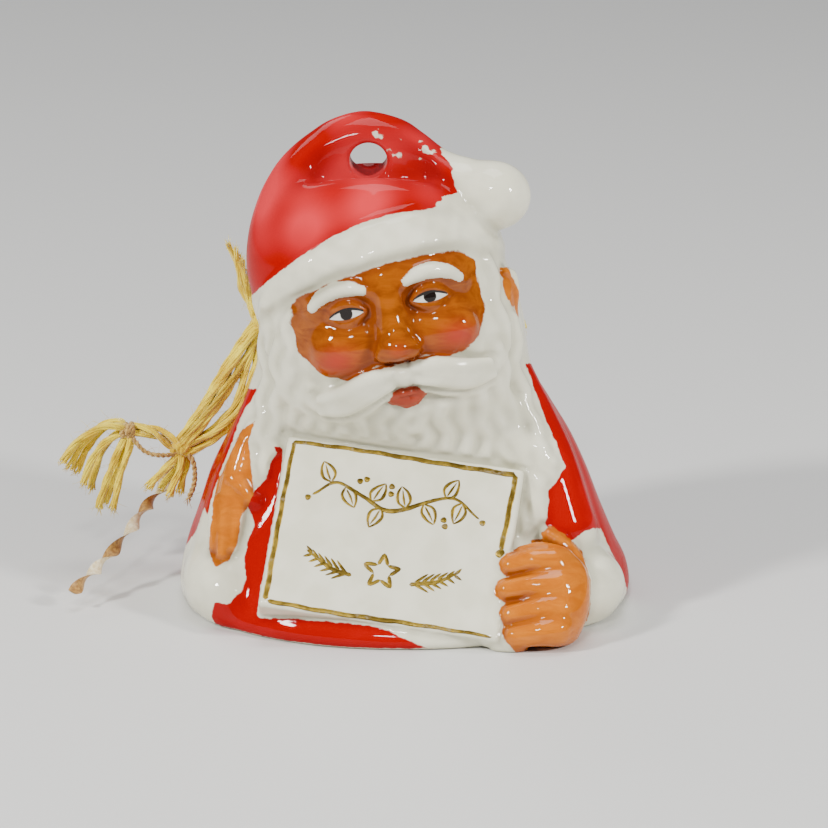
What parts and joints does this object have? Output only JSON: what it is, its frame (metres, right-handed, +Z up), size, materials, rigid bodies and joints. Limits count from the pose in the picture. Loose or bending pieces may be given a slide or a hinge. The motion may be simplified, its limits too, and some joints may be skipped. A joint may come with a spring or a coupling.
{
  "type": "christmas bell ornament",
  "caption": "Hollow glazed porcelain figural bell with a hat hanging hole, a corded bead clapper inside and a knotted cotton floss tassel at the neck.",
  "frame": {"origin": "middle of the bell's mouth, in the plane of its rim", "axes": "+Z up through the hat, the front with the card faces -Y, +X to the viewer's right"},
  "size_m": [0.081, 0.0568, 0.0686],
  "materials": {
    "porcelain": "glossy glaze over hand painting in red, flesh and gold",
    "yellow_floss": "matte cotton",
    "tan_yarn": "matte cotton",
    "gold_ribbon": "satin ribbon, tan and cream faces",
    "bead": "satin varnish"
  },
  "bodies": {
    "root": {"bell_shell": "porcelain", "cross_cord": "yellow_floss", "left_knot": "yellow_floss", "right_knot": "yellow_floss", "floss_upper": "yellow_floss", "floss_lower": "yellow_floss", "floss_tail": "yellow_floss", "main_knot": "yellow_floss", "floss_branch": "yellow_floss", "yarn_loop": "tan_yarn", "second_knot": "tan_yarn", "long_fan": "yellow_floss", "straight_ends": "yellow_floss", "short_fan": "yellow_floss", "tan_end": "tan_yarn", "gold_ribbon": "gold_ribbon"},
    "hanger": {"hanger_knot": "yellow_floss"},
    "clapper": {"clapper_cord": "yellow_floss", "clapper_bead": "bead", "clapper_end_knot": "yellow_floss"}
  },
  "joints": [
    {"name": "clapper_fore_aft", "type": "hinge", "parent": "root", "child": "hanger", "pos_m": [-0.002, 0.009, 0.0365], "axis": [1, 0, 0], "range_deg": [-40, 12]},
    {"name": "clapper_side", "type": "hinge", "parent": "hanger", "child": "clapper", "pos_m": [-0.002, 0.009, 0.0365], "axis": [0, 1, 0], "range_deg": [-26, 26]}
  ]
}
